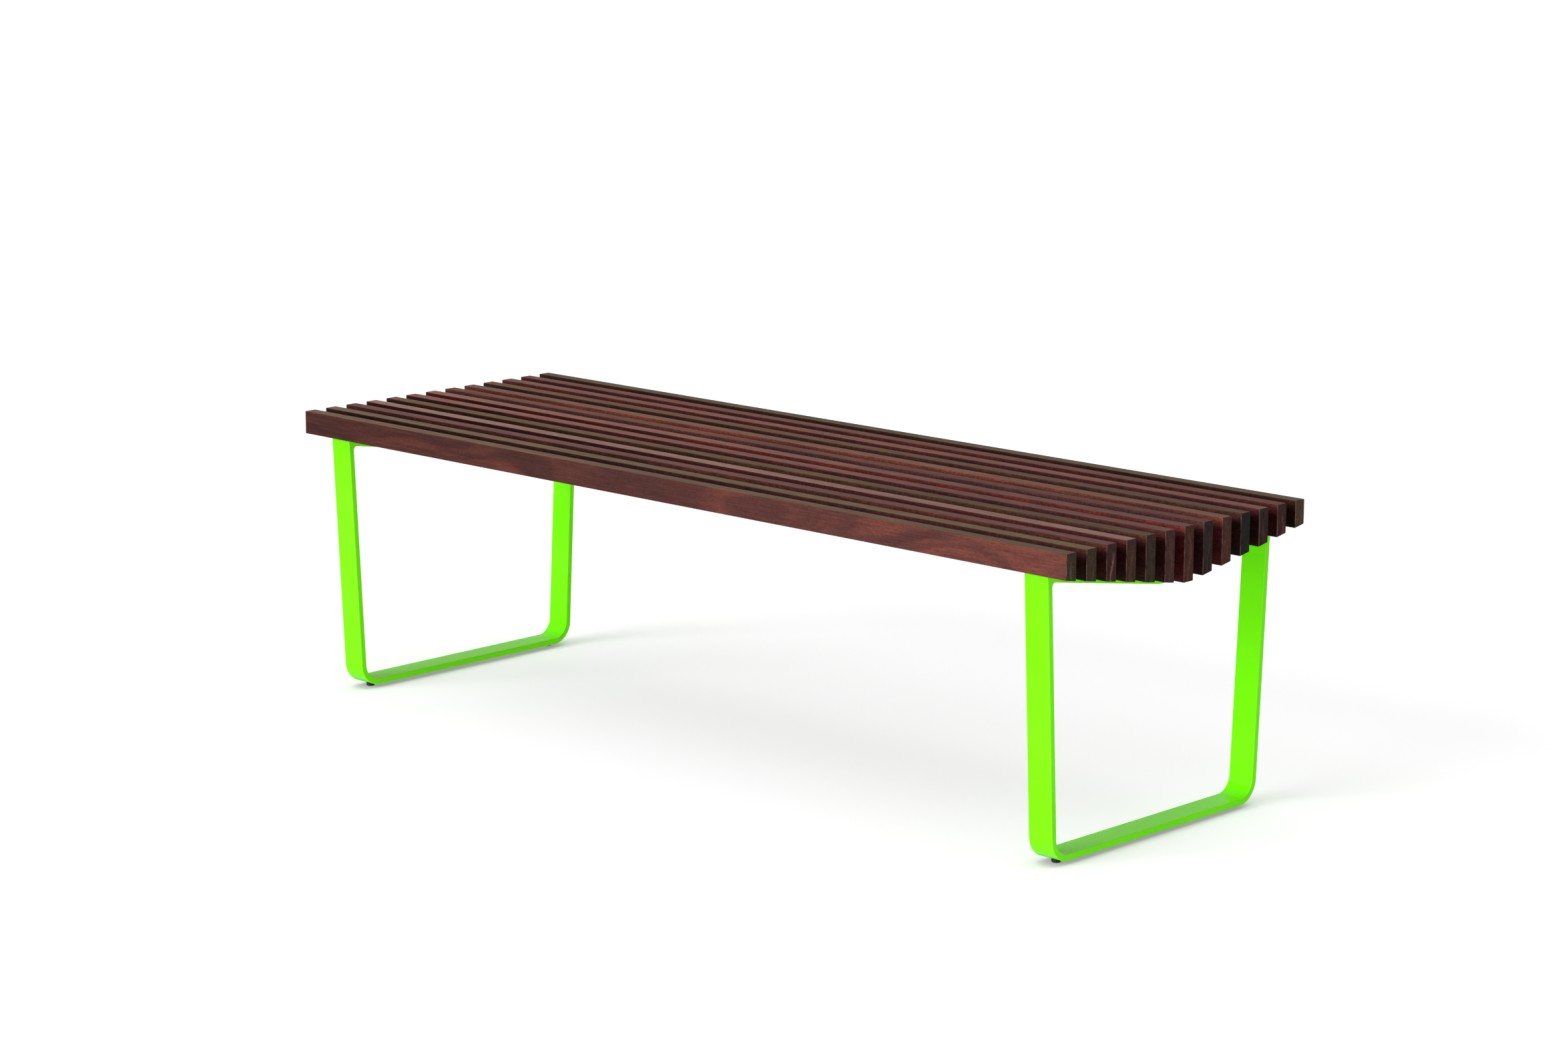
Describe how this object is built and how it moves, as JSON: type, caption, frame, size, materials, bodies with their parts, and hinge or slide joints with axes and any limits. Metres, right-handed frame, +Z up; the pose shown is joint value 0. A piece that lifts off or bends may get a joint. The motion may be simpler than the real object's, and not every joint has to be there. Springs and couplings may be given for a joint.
{
  "type": "backless bench",
  "caption": "Backless slatted bench: long hardwood slats on edge over a shallow V underside, on flat-bar steel loop legs with small black glides.",
  "frame": {"origin": "on the ground under the middle of the seat", "axes": "+X along the slats, +Y across them towards the back, +Z up"},
  "size_m": [1.5, 0.506, 0.431],
  "materials": {
    "hardwood": "oiled tropical hardwood, satin, tone differs from slat to slat",
    "green_powder_coat": "glossy bright yellow-green powder coat",
    "black_nylon": "moulded, matt",
    "stainless_steel": "plain stainless fasteners and rods"
  },
  "bodies": {
    "root": {"slat_01": "hardwood", "slat_02": "hardwood", "slat_03": "hardwood", "slat_04": "hardwood", "slat_05": "hardwood", "slat_06": "hardwood", "slat_07": "hardwood", "slat_08": "hardwood", "slat_09": "hardwood", "slat_10": "hardwood", "slat_11": "hardwood", "slat_12": "hardwood", "slat_13": "hardwood", "leg_loop_left": "green_powder_coat", "leg_loop_right": "green_powder_coat", "rail_left": "green_powder_coat", "rail_right": "green_powder_coat", "glide_left_front": "black_nylon", "glide_left_back": "black_nylon", "glide_right_front": "black_nylon", "glide_right_back": "black_nylon", "tie_rod_left": "stainless_steel", "tie_rod_right": "stainless_steel", "spacer_left_01": "black_nylon", "spacer_left_02": "black_nylon", "spacer_left_03": "black_nylon", "spacer_left_04": "black_nylon", "spacer_left_05": "black_nylon", "spacer_left_06": "black_nylon", "spacer_left_07": "black_nylon", "spacer_left_08": "black_nylon", "spacer_left_09": "black_nylon", "spacer_left_10": "black_nylon", "spacer_left_11": "black_nylon", "spacer_left_12": "black_nylon", "spacer_right_01": "black_nylon", "spacer_right_02": "black_nylon", "spacer_right_03": "black_nylon", "spacer_right_04": "black_nylon", "spacer_right_05": "black_nylon", "spacer_right_06": "black_nylon", "spacer_right_07": "black_nylon", "spacer_right_08": "black_nylon", "spacer_right_09": "black_nylon", "spacer_right_10": "black_nylon", "spacer_right_11": "black_nylon", "spacer_right_12": "black_nylon", "screw_left_1": "stainless_steel", "screw_left_2": "stainless_steel", "screw_left_3": "stainless_steel", "screw_left_4": "stainless_steel", "screw_left_5": "stainless_steel", "screw_left_6": "stainless_steel", "screw_right_1": "stainless_steel", "screw_right_2": "stainless_steel", "screw_right_3": "stainless_steel", "screw_right_4": "stainless_steel", "screw_right_5": "stainless_steel", "screw_right_6": "stainless_steel"}
  },
  "joints": []
}
